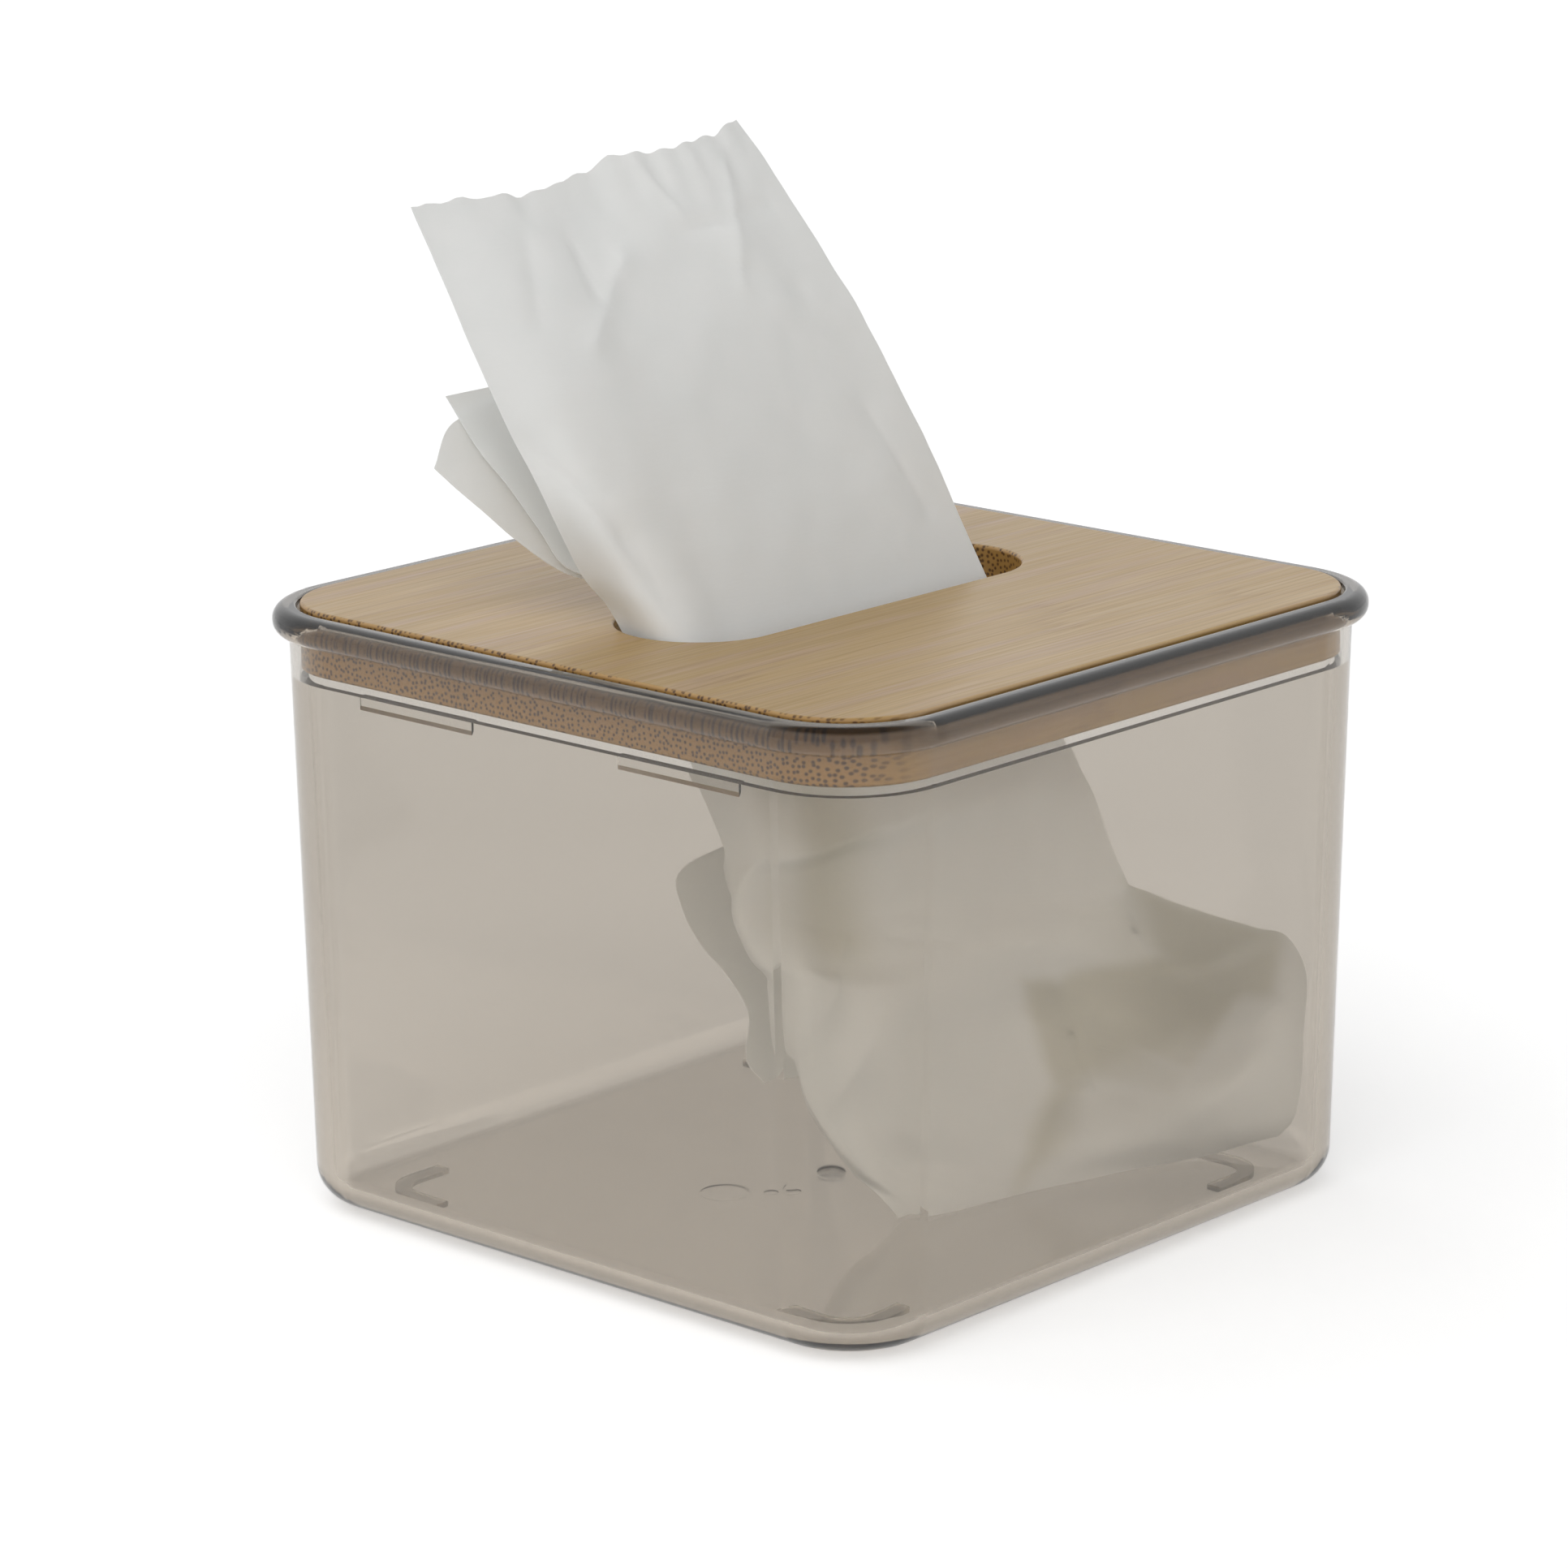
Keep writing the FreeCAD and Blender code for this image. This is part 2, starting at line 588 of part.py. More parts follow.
# Check and write
sub_parts = [build_container()] + build_strips() + [build_tissue_front(), build_tissue_rear()]
doc.recompute()
for item in doc.Objects:
    if "Invalid" in item.State or "Error" in item.State:
        raise ValueError(f"{item.Label} failed: {item.State}")
for part in sub_parts:
    if part.Shape.isNull() or not part.Shape.isValid():
        raise ValueError(f"{part.Label} has no valid shape")

os.makedirs("parts", exist_ok=True)
for part in sub_parts:
    part.Shape.exportStep(f"parts/{part.Label}.step")
    print(part.Label, "solids", len(part.Shape.Solids), "volume", round(part.Shape.Volume, 1))
print("tissue's pull direction", round(pull.x, 4), round(pull.y, 4), round(pull.z, 4))
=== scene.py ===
# %% [markdown]
# # A tissue box cover
# The object is a square tub of smoke-grey clear plastic with a bamboo lid. A paper tissue is drawn up
# through a slot in the lid. Tub and lid come finished from the CAD model, so this lesson gives them
# their materials, and models the one soft thing, the tissue, as thin sheets of paper.

# %% Load the CAD model
import math

import bmesh
import bpy
from mathutils import Matrix, Vector, geometry, noise


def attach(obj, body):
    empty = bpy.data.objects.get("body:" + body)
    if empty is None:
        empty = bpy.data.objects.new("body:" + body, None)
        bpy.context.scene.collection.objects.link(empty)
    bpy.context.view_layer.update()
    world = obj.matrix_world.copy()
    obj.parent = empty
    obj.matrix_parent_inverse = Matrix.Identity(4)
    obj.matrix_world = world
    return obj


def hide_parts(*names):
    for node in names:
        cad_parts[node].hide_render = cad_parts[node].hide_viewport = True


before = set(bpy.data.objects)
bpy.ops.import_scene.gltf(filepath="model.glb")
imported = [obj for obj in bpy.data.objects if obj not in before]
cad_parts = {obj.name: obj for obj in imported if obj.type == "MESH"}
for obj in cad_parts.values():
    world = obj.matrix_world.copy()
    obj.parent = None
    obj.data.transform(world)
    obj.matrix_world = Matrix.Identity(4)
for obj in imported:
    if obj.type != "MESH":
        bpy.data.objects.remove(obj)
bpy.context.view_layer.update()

MM = 0.001
scene = bpy.context.scene
scene.view_settings.view_transform = "Standard"

# %% [markdown]
# ## The camera
# The photograph looks at one corner of the tub from a little above its rim, through a long lens, so
# upright lines stay almost parallel. The angles, the distance and the focal length were fitted to
# points of the rim, the lid and the base whose places are known. A camera looks along its own -Z, so
# its matrix is made of three arrows: its right, its up, and the way back from the object to it.

# %% Camera
azimuth = math.radians(-47.678)
elevation = math.radians(14.941)
roll = math.radians(-0.407)
back = Vector((
    math.sin(azimuth) * math.cos(elevation),
    -math.cos(azimuth) * math.cos(elevation),
    math.sin(elevation),
))
level = Vector((math.cos(azimuth), math.sin(azimuth), 0))
upright = back.cross(level)
right = level * math.cos(roll) + upright * math.sin(roll)
up = upright * math.cos(roll) - level * math.sin(roll)
camera_data = bpy.data.cameras.new("camera")
camera_data.sensor_width = 36
camera_data.lens = 131.49
camera = bpy.data.objects.new("camera", camera_data)
camera.matrix_world = Matrix((right, up, back)).transposed().to_4x4()
camera.location = Vector((-561.91, -504.47, 259.83)) * MM
scene.collection.objects.link(camera)
scene.camera = camera
print("camera at", [round(v, 3) for v in camera.location], "lens", camera_data.lens)

# %% [markdown]
# ## A helper for materials
# Every material is a tree of nodes. Colours are easiest to read as the hex values of a paint chart,
# but shaders count light, which is linear, so one function turns hex to linear. A second one adds a
# node, sets its options and its inputs, and makes a link where an input is another node's output.

# %% Helpers for nodes
def linear(hex_colour):
    channels = [int(hex_colour[place:place + 2], 16) / 255 for place in (1, 3, 5)]
    return tuple(c / 12.92 if c <= 0.04045 else ((c + 0.055) / 1.055) ** 2.4 for c in channels) + (1,)


def add_node(tree, kind, inputs=None, **settings):
    node = tree.nodes.new(kind)
    for name, value in settings.items():
        setattr(node, name, value)
    for name, value in (inputs or {}).items():
        if isinstance(value, bpy.types.NodeSocket):
            tree.links.new(value, node.inputs[name])
        else:
            node.inputs[name].default_value = value
    return node


def new_material(name):
    material = bpy.data.materials.new(name)
    material.use_nodes = True
    material.node_tree.nodes.clear()
    return material, material.node_tree


print("mid grey in linear light", round(linear("#808080")[0], 3))

# %% [markdown]
# ## Light and floor
# The product stands on white paper in a soft even light, strongest from the front and the left. Four
# kinds of ray ask the world for light, and the Light Path node tells them apart: the camera sees plain
# white, matt surfaces get a low light from all round, a reflection sees a white wall that is brighter in
# front, and a ray through the clear plastic sees a brighter wall in front and a greyer one behind. The
# ceiling is dark, which darkens the rim; the rim's dark line is also painted shade in the plastic's
# colour. Light that has passed the thin paper counts as light on a matt surface.

# %% World
MATT_LIGHT = 0.3
CEILING = 0.15
REFLECTED_BACK_WALL = 1.0
REFLECTED_FRONT_WALL = 1.1
BACK_WALL_THROUGH_PLASTIC = 0.64
FRONT_WALL_THROUGH_PLASTIC = 2.3
world = bpy.data.worlds.new("light tent")
scene.world = world
world.use_nodes = True
tent = world.node_tree
tent.nodes.clear()
rays = add_node(tent, "ShaderNodeLightPath").outputs
# A ray that is reflected or let through, but hasn't been scattered by a matt surface.
clear_rays = add_node(tent, "ShaderNodeMath", {
    0: rays["Is Glossy Ray"], 1: rays["Is Transmission Ray"]}, operation="MAXIMUM")
clear_rays = add_node(tent, "ShaderNodeMath", {
    0: clear_rays.outputs[0], 1: rays["Is Diffuse Ray"]}, operation="SUBTRACT", use_clamp=True)
direction = add_node(tent, "ShaderNodeTexCoord").outputs["Generated"]
upward = add_node(tent, "ShaderNodeSeparateXYZ", {0: direction}).outputs["Z"]
frontal = add_node(tent, "ShaderNodeVectorMath", {0: direction, 1: back}, operation="DOT_PRODUCT")
back_wall = add_node(tent, "ShaderNodeMapRange", {
    "Value": rays["Is Transmission Ray"],
    "To Min": REFLECTED_BACK_WALL, "To Max": BACK_WALL_THROUGH_PLASTIC})
front_wall = add_node(tent, "ShaderNodeMapRange", {
    "Value": rays["Is Transmission Ray"],
    "To Min": REFLECTED_FRONT_WALL, "To Max": FRONT_WALL_THROUGH_PLASTIC})
wall = add_node(tent, "ShaderNodeMapRange", {
    "Value": frontal.outputs["Value"], "From Min": -0.9, "From Max": 0.1,
    "To Min": back_wall.outputs[0], "To Max": front_wall.outputs[0]})
overhead = add_node(tent, "ShaderNodeMapRange", {"Value": upward, "From Min": 0.72, "From Max": 0.92})
seen = add_node(tent, "ShaderNodeMix", {
    "Factor": overhead.outputs[0], "A": wall.outputs[0], "B": CEILING})
lighting = add_node(tent, "ShaderNodeMix", {
    "Factor": clear_rays.outputs[0], "A": MATT_LIGHT, "B": seen.outputs[0]})
tent_strength = add_node(tent, "ShaderNodeMix", {
    "Factor": rays["Is Camera Ray"], "A": lighting.outputs[0], "B": 1.0})
sky = add_node(tent, "ShaderNodeBackground", {
    "Color": linear("#FFFFFF"), "Strength": tent_strength.outputs[0]})
add_node(tent, "ShaderNodeOutputWorld", {"Surface": sky.outputs[0]})
print("the tent lights matt surfaces with strength", MATT_LIGHT, "and is seen as white")

# %% Softboxes
# Each has a strength, the direction it shines from and its height above the floor, both in degrees.
SOFTBOX_SPREAD = 60
for name, energy, turn, tilt in (
    ("front softbox", 0.8, -30, 28),
    ("left softbox", 1.05, -80, 45),
    ("back softbox", 0.4, 190, 45),
):
    softbox_data = bpy.data.lights.new(name, "SUN")
    softbox_data.energy = energy
    softbox_data.angle = math.radians(SOFTBOX_SPREAD)
    softbox = bpy.data.objects.new(name, softbox_data)
    softbox.rotation_euler = (math.radians(90 - tilt), 0, math.radians(turn))
    softbox.visible_glossy = False
    scene.collection.objects.link(softbox)
    print(name, "strength", energy, "from", turn, "degrees, height", tilt)

# %% Floor
FLOOR_HALF = 4
FLOOR_DROP = 0.1 * MM
FLOOR_LIFT = 0.42
floor_form = bmesh.new()
bmesh.ops.create_grid(floor_form, x_segments=1, y_segments=1, size=FLOOR_HALF)
bmesh.ops.translate(floor_form, verts=floor_form.verts, vec=(0, 0, -FLOOR_DROP))
floor_mesh = bpy.data.meshes.new("floor")
floor_form.to_mesh(floor_mesh)
floor_form.free()
floor = bpy.data.objects.new("floor", floor_mesh)
scene.collection.objects.link(floor)
paper, tree = new_material("white backdrop paper")
# Seen straight or as a reflection, the paper is lifted to white by a little light of its own.
floor_rays = add_node(tree, "ShaderNodeLightPath").outputs
shown = add_node(tree, "ShaderNodeMath", {
    0: floor_rays["Is Camera Ray"], 1: floor_rays["Is Glossy Ray"]}, operation="MAXIMUM")
shown = add_node(tree, "ShaderNodeMath", {0: shown.outputs[0], 1: FLOOR_LIFT}, operation="MULTIPLY")
# Through the plastic the paper far behind the tub looks greyer than the paper close to it.
spot = add_node(tree, "ShaderNodeTexCoord").outputs["Object"]
distance = add_node(tree, "ShaderNodeVectorMath", {0: spot}, operation="LENGTH")
greyer = add_node(tree, "ShaderNodeMapRange", {
    "Value": distance.outputs["Value"], "From Min": 60 * MM, "From Max": 200 * MM,
    "To Min": 0.32, "To Max": 0.15})
lift = add_node(tree, "ShaderNodeMix", {
    "Factor": floor_rays["Is Transmission Ray"], "A": shown.outputs[0], "B": greyer.outputs[0]})
lit = add_node(tree, "ShaderNodeBsdfDiffuse", {"Color": linear("#F2F2F2")})
lifted = add_node(tree, "ShaderNodeEmission", {"Color": linear("#FFFFFF"), "Strength": lift.outputs[0]})
both = add_node(tree, "ShaderNodeAddShader", {0: lit.outputs[0], 1: lifted.outputs[0]})
add_node(tree, "ShaderNodeOutputMaterial", {"Surface": both.outputs[0]})
floor_mesh.materials.append(paper)
print("floor of", [round(v, 1) for v in floor.dimensions[:2]], "m")

# %% [markdown]
# ## The tub's plastic
# The tub is polystyrene, injection moulded against polished steel: clear and glossy, with a smoke tint
# that grows with the length of the way through it. So most of the colour isn't on the surface: the
# volume inside takes some of each colour away for every millimetre, which leaves thin walls pale and
# thick edges dark. A few narrow parts are darker than that explains, because they show the dark ceiling
# or little light, and their surface colour is darkened there as painted shade: the rim bead and its lip,
# the ledge under the lid and the feet. The gate mark is tinted dark as a rough patch. Fingers leave faint
# smears, which show as slight changes of gloss.

# %% Polystyrene: its surface
POLISHED = 0.015
SMEARED = 0.06
styrene, tree = new_material("polystyrene, injection moulded, smoke tint")
place = add_node(tree, "ShaderNodeTexCoord").outputs["Object"]
# A finger's smear is about 12 mm wide, so its noise has one wave in 12 mm.
smear = add_node(tree, "ShaderNodeTexNoise", {
    "Vector": place, "Scale": 1 / (12 * MM), "Detail": 4.0, "Roughness": 0.6})
gloss = add_node(tree, "ShaderNodeMapRange", {
    "Value": smear.outputs[0], "From Min": 0.4, "From Max": 0.75, "To Min": POLISHED, "To Max": SMEARED})
# The flow of the melt leaves waves of about 20 mm that only bend the light a little.
flow = add_node(tree, "ShaderNodeTexNoise", {"Vector": place, "Scale": 1 / (20 * MM), "Detail": 1.0})
wave = add_node(tree, "ShaderNodeBump", {"Height": flow.outputs[0], "Strength": 0.03, "Distance": 2 * MM})
print("roughness from", POLISHED, "to", SMEARED)

# %% Polystyrene: its dark parts, most of them painted shade
LEDGE_LEVEL = 75.4 * MM
CLEAR_WHITE = linear("#FFFFFF")
PAINTED_BEAD_SHADE = linear("#6A553E")
NEAR_BLACK = linear("#14161A")
# The thick rim bead bends the dark ceiling into view, and its colour is darkened too, as painted shade:
# brown from 81 mm up, almost black at its lip.
height = add_node(tree, "ShaderNodeSeparateXYZ", {0: place}).outputs["Z"]
bead = add_node(tree, "ShaderNodeMapRange", {
    "Value": height, "From Min": 81.0 * MM, "From Max": 83.6 * MM, "To Min": 0.0, "To Max": 0.6})
lip = add_node(tree, "ShaderNodeMapRange", {
    "Value": height, "From Min": 84.0 * MM, "From Max": 84.4 * MM, "To Min": 0.0, "To Max": 0.85})
rim = add_node(tree, "ShaderNodeMix", {
    "Factor": bead.outputs[0], "A": CLEAR_WHITE, "B": PAINTED_BEAD_SHADE}, data_type="RGBA")
# The flat top of the ledge under the lid is painted as a thin dark line of shade.
ledge_gap = add_node(tree, "ShaderNodeMath", {0: height, 1: LEDGE_LEVEL}, operation="SUBTRACT")
ledge_gap = add_node(tree, "ShaderNodeMath", {0: ledge_gap.outputs[0]}, operation="ABSOLUTE")
ledge = add_node(tree, "ShaderNodeMapRange", {
    "Value": ledge_gap.outputs[0], "From Min": 0.1 * MM, "From Max": 0.14 * MM,
    "To Min": 1.0, "To Max": 0.0})
facing = add_node(tree, "ShaderNodeNewGeometry")
facing = add_node(tree, "ShaderNodeSeparateXYZ", {0: facing.outputs["Normal"]})
faces_up = add_node(tree, "ShaderNodeMath", {0: facing.outputs["Z"], 1: 0.5}, operation="GREATER_THAN")
ledge = add_node(tree, "ShaderNodeMath", {
    0: ledge.outputs[0], 1: faces_up.outputs[0]}, operation="MULTIPLY")
dark_share = add_node(tree, "ShaderNodeMath", {
    0: lip.outputs[0], 1: ledge.outputs[0]}, operation="MAXIMUM")
# The melt came in through the floor's middle, and the gate left a rough patch 5.5 mm wide.
middle = add_node(tree, "ShaderNodeVectorMath", {0: place, 1: (1, 1, 0)}, operation="MULTIPLY")
middle = add_node(tree, "ShaderNodeVectorMath", {0: middle.outputs[0]}, operation="LENGTH")
torn = add_node(tree, "ShaderNodeTexNoise", {"Vector": place, "Scale": 1 / (0.8 * MM), "Detail": 2.0})
gate = add_node(tree, "ShaderNodeMapRange", {
    "Value": middle.outputs["Value"], "From Min": 2.5 * MM, "From Max": 2.75 * MM,
    "To Min": torn.outputs[0], "To Max": 0.0})
dark_share = add_node(tree, "ShaderNodeMath", {
    0: dark_share.outputs[0], 1: gate.outputs[0]}, operation="MAXIMUM")
# The feet's narrow sides catch little light, so their outlines are painted dark as shade.
feet = add_node(tree, "ShaderNodeMapRange", {
    "Value": height, "From Min": 0.5 * MM, "From Max": 0.75 * MM, "To Min": 0.55, "To Max": 0.0})
dark_share = add_node(tree, "ShaderNodeMath", {
    0: dark_share.outputs[0], 1: feet.outputs[0]}, operation="MAXIMUM")
shade = add_node(tree, "ShaderNodeMix", {
    "Factor": dark_share.outputs[0], "A": rim.outputs[2], "B": NEAR_BLACK}, data_type="RGBA")
print("dark line of the ledge at", round(LEDGE_LEVEL / MM, 1), "mm")

# %% Polystyrene: its tint, and the tub
SMOKE_DENSITY = 144.0
clear = add_node(tree, "ShaderNodeBsdfPrincipled", {
    "Base Color": shade.outputs[2], "Roughness": gloss.outputs[0], "IOR": 1.5,
    "Transmission Weight": 1.0, "Normal": wave.outputs[0]})
tint = add_node(tree, "ShaderNodeVolumeAbsorption", {
    "Color": linear("#987800"), "Density": SMOKE_DENSITY})
add_node(tree, "ShaderNodeOutputMaterial", {"Surface": clear.outputs[0], "Volume": tint.outputs[0]})
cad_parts["container"].data.materials.clear()
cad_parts["container"].data.materials.append(styrene)

# %% [markdown]
# ## The lid's bamboo
# The lid is a board glued from bamboo strips about 6.7 mm wide, planed, sanded and sealed with a satin
# lacquer. Bamboo is made of straight fibre bundles in a pale body. Cut across, each bundle is a brown
# dot of about a third of a millimetre; cut along, it is a thin streak. One pattern gives both: the
# cells of a flat Voronoi texture in the board's own Y and Z, the same all along X, so the ends and the
# slot's round ends show dots, and the top shows streaks, with no seam between them.

# %% Bamboo: strips and grain
STRIP_WIDTH = 6.713 * MM
BUNDLE_SPACING = 0.8 * MM
bamboo, tree = new_material("bamboo, side pressed, satin lacquer")
place = add_node(tree, "ShaderNodeTexCoord").outputs["Object"]
axes = add_node(tree, "ShaderNodeSeparateXYZ", {0: place})
# The grain wanders sideways by about a third of a millimetre over the board's length.
wander = add_node(tree, "ShaderNodeTexNoise", {"Vector": place, "Scale": 1 / (60 * MM), "Detail": 1.0})
sway = add_node(tree, "ShaderNodeVectorMath", {
    0: wander.outputs["Color"], 1: (0, 0.9 * MM, 0.9 * MM)}, operation="MULTIPLY")
grain_place = add_node(tree, "ShaderNodeVectorMath", {0: place, 1: sway.outputs[0]}, operation="ADD")
grain_place = grain_place.outputs[0]
# Each strip is cut from another cane, so each has its own tone: its number along Y picks it.
strip = add_node(tree, "ShaderNodeMath", {0: axes.outputs["Y"], 1: STRIP_WIDTH}, operation="DIVIDE")
strip = add_node(tree, "ShaderNodeMath", {0: strip.outputs[0]}, operation="FLOOR")
cane = add_node(tree, "ShaderNodeTexWhiteNoise", {"W": strip.outputs[0]}, noise_dimensions="1D")
# Fibre bundles stand about 0.5 mm apart, drawn here 0.8 mm apart so that they show. They run the
# strip's length, so only Y and Z count. Some canes have thicker bundles than others.
bundle_axes = add_node(tree, "ShaderNodeSeparateXYZ", {0: grain_place})
bundle_place = add_node(tree, "ShaderNodeCombineXYZ", {
    "X": bundle_axes.outputs["Y"], "Y": bundle_axes.outputs["Z"]})
bundles = add_node(tree, "ShaderNodeTexVoronoi", {
    "Vector": bundle_place.outputs[0], "Scale": 1 / BUNDLE_SPACING, "Randomness": 0.75},
    voronoi_dimensions="2D")
bundle_size = add_node(tree, "ShaderNodeMapRange", {
    "Value": cane.outputs["Value"], "To Min": 0.36, "To Max": 0.46})
dots = add_node(tree, "ShaderNodeMapRange", {
    "Value": bundles.outputs["Distance"], "From Min": 0.16, "From Max": bundle_size.outputs[0],
    "To Min": 1.0, "To Max": 0.0}, interpolation_type="SMOOTHSTEP")
# Fine fibres between the bundles: streaks of 0.25 mm, as fine as shows at this distance.
fibre_place = add_node(tree, "ShaderNodeMapping", {
    "Vector": grain_place, "Scale": (1 / (20 * MM), 1 / (0.5 * MM), 1 / (0.5 * MM))})
fibres = add_node(tree, "ShaderNodeTexNoise", {
    "Vector": fibre_place.outputs[0], "Scale": 1.0, "Detail": 3.0})
# Broad streaks, about 2.5 mm wide and 35 mm long, that turn a little grey and pink.
streak_place = add_node(tree, "ShaderNodeMapping", {
    "Vector": grain_place, "Scale": (1 / (35 * MM), 1 / (2.5 * MM), 1 / (6 * MM))})
streaks = add_node(tree, "ShaderNodeTexNoise", {
    "Vector": streak_place.outputs[0], "Scale": 1.0, "Detail": 2.0})
streak_share = add_node(tree, "ShaderNodeMapRange", {
    "Value": streaks.outputs[0], "From Min": 0.48, "From Max": 0.72, "To Min": 0.0, "To Max": 0.8})
print("strips of", round(STRIP_WIDTH / MM, 2), "mm, bundles", round(BUNDLE_SPACING / MM, 2), "mm apart")

# %% Bamboo: colour along the grain
JOINT_SPREAD = 110 * MM
JOINT_RAGGED = 5 * MM
tone = add_node(tree, "ShaderNodeMix", {
    "Factor": cane.outputs["Value"], "A": linear("#AF9059"), "B": linear("#BD9E6A")}, data_type="RGBA")
toned = add_node(tree, "ShaderNodeMix", {
    "Factor": streak_share.outputs[0], "A": tone.outputs[2], "B": linear("#B5967B")}, data_type="RGBA")
fibre_share = add_node(tree, "ShaderNodeMapRange", {
    "Value": fibres.outputs[0], "From Min": 0.3, "From Max": 0.7, "To Min": 0.0, "To Max": 0.45})
lengthwise = add_node(tree, "ShaderNodeMix", {
    "Factor": fibre_share.outputs[0], "A": toned.outputs[2], "B": linear("#9F8050")}, data_type="RGBA")
# A cane's joint crosses some strips as a soft dark line about 2.7 mm wide, at a place of its own.
joint_place = add_node(tree, "ShaderNodeMapRange", {
    "Value": cane.outputs["Value"], "To Min": -JOINT_SPREAD, "To Max": JOINT_SPREAD})
ripple = add_node(tree, "ShaderNodeMapRange", {
    "Value": fibres.outputs[0], "From Min": 0.3, "From Max": 0.7,
    "To Min": -JOINT_RAGGED, "To Max": JOINT_RAGGED})
joint_place = add_node(tree, "ShaderNodeMath", {
    0: joint_place.outputs[0], 1: ripple.outputs[0]}, operation="ADD")
joint_gap = add_node(tree, "ShaderNodeMath", {
    0: axes.outputs["X"], 1: joint_place.outputs[0]}, operation="SUBTRACT")
joint_gap = add_node(tree, "ShaderNodeMath", {0: joint_gap.outputs[0]}, operation="ABSOLUTE")
joint_line = add_node(tree, "ShaderNodeMapRange", {
    "Value": joint_gap.outputs[0], "From Min": 0.3 * MM, "From Max": 2.4 * MM,
    "To Min": 0.28, "To Max": 0.0})
jointed = add_node(tree, "ShaderNodeMix", {
    "Factor": joint_line.outputs[0], "A": lengthwise.outputs[2], "B": linear("#8A6238")}, data_type="RGBA")
print("cane joints within", round(JOINT_SPREAD / MM), "mm of the middle")

# %% Bamboo: ends, lacquer, and the lid
# Cut across the grain the wood drinks more lacquer and is darker: the surface's direction tells where.
facing = add_node(tree, "ShaderNodeNewGeometry")
facing = add_node(tree, "ShaderNodeSeparateXYZ", {0: facing.outputs["Normal"]})
across = add_node(tree, "ShaderNodeMath", {0: facing.outputs["X"]}, operation="ABSOLUTE")
flat_share = add_node(tree, "ShaderNodeMath", {0: facing.outputs["Z"]}, operation="ABSOLUTE")
end_share = add_node(tree, "ShaderNodeMapRange", {
    "Value": across.outputs[0], "From Min": 0.1, "From Max": 0.75, "To Min": 0.0, "To Max": 1.0})
body = add_node(tree, "ShaderNodeMix", {
    "Factor": end_share.outputs[0], "A": jointed.outputs[2], "B": linear("#B58F58")}, data_type="RGBA")
# The board's edges lie in the shade of the rim, and that shade is painted here, so they are darker.
painted_edge_shade = add_node(tree, "ShaderNodeMapRange", {
    "Value": flat_share.outputs[0], "From Min": 0.3, "From Max": 0.9, "To Min": 1.0, "To Max": 0.0})
body = add_node(tree, "ShaderNodeMix", {
    "Factor": painted_edge_shade.outputs[0], "A": body.outputs[2], "B": linear("#DAD2BC")},
    data_type="RGBA", blend_type="MULTIPLY")
# The bundles' dots show fully on the ends, and hardly along the grain.
dot_share = add_node(tree, "ShaderNodeMapRange", {
    "Value": end_share.outputs[0], "To Min": 0.1, "To Max": 0.95})
dot_share = add_node(tree, "ShaderNodeMath", {
    0: dots.outputs[0], 1: dot_share.outputs[0]}, operation="MULTIPLY")
wood = add_node(tree, "ShaderNodeMix", {
    "Factor": dot_share.outputs[0], "A": body.outputs[2], "B": linear("#482D14")}, data_type="RGBA")
# Satin lacquer fills the pores but for a trace of the fibres.
satin = add_node(tree, "ShaderNodeMapRange", {
    "Value": fibres.outputs[0], "From Min": 0.3, "From Max": 0.7, "To Min": 0.3, "To Max": 0.42})
pores = add_node(tree, "ShaderNodeBump", {
    "Height": fibres.outputs[0], "Strength": 0.12, "Distance": 0.05 * MM})
lacquered = add_node(tree, "ShaderNodeBsdfPrincipled", {
    "Base Color": wood.outputs[2], "Roughness": satin.outputs[0], "IOR": 1.5, "Normal": pores.outputs[0]})
add_node(tree, "ShaderNodeOutputMaterial", {"Surface": lacquered.outputs[0]})
strips = [node for name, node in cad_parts.items() if name.startswith("lid_strip")]
for node in strips:
    node.data.materials.clear()
    node.data.materials.append(bamboo)
print("bamboo on", len(strips), "strips")

# %% [markdown]
# ## The tissue's paper
# Facial tissue is two plies of creped paper: matt, soft white, and thin enough for some light to come
# through. The shader mixes a rough surface with a translucent one. Creping leaves fine ridges across
# the sheet, under half a millimetre apart, and they are drawn at that size in the sheet's own UV map,
# which is laid out in metres.

# %% Tissue paper, creped
TRANSLUCENT_SHARE = 0.5
tissue_paper, tree = new_material("tissue paper, creped")
flat_place = add_node(tree, "ShaderNodeUVMap", uv_map="paper").outputs[0]
crepe_place = add_node(tree, "ShaderNodeMapping", {
    "Vector": flat_place, "Scale": (1 / (3 * MM), 1 / (0.45 * MM), 1.0)})
crepe = add_node(tree, "ShaderNodeTexNoise", {
    "Vector": crepe_place.outputs[0], "Scale": 1.0, "Detail": 3.0})
cloud = add_node(tree, "ShaderNodeTexNoise", {"Vector": flat_place, "Scale": 1 / (5 * MM), "Detail": 4.0})
white = add_node(tree, "ShaderNodeMix", {
    "Factor": cloud.outputs[0], "A": linear("#F9FAF9"), "B": linear("#FDFDFC")}, data_type="RGBA")
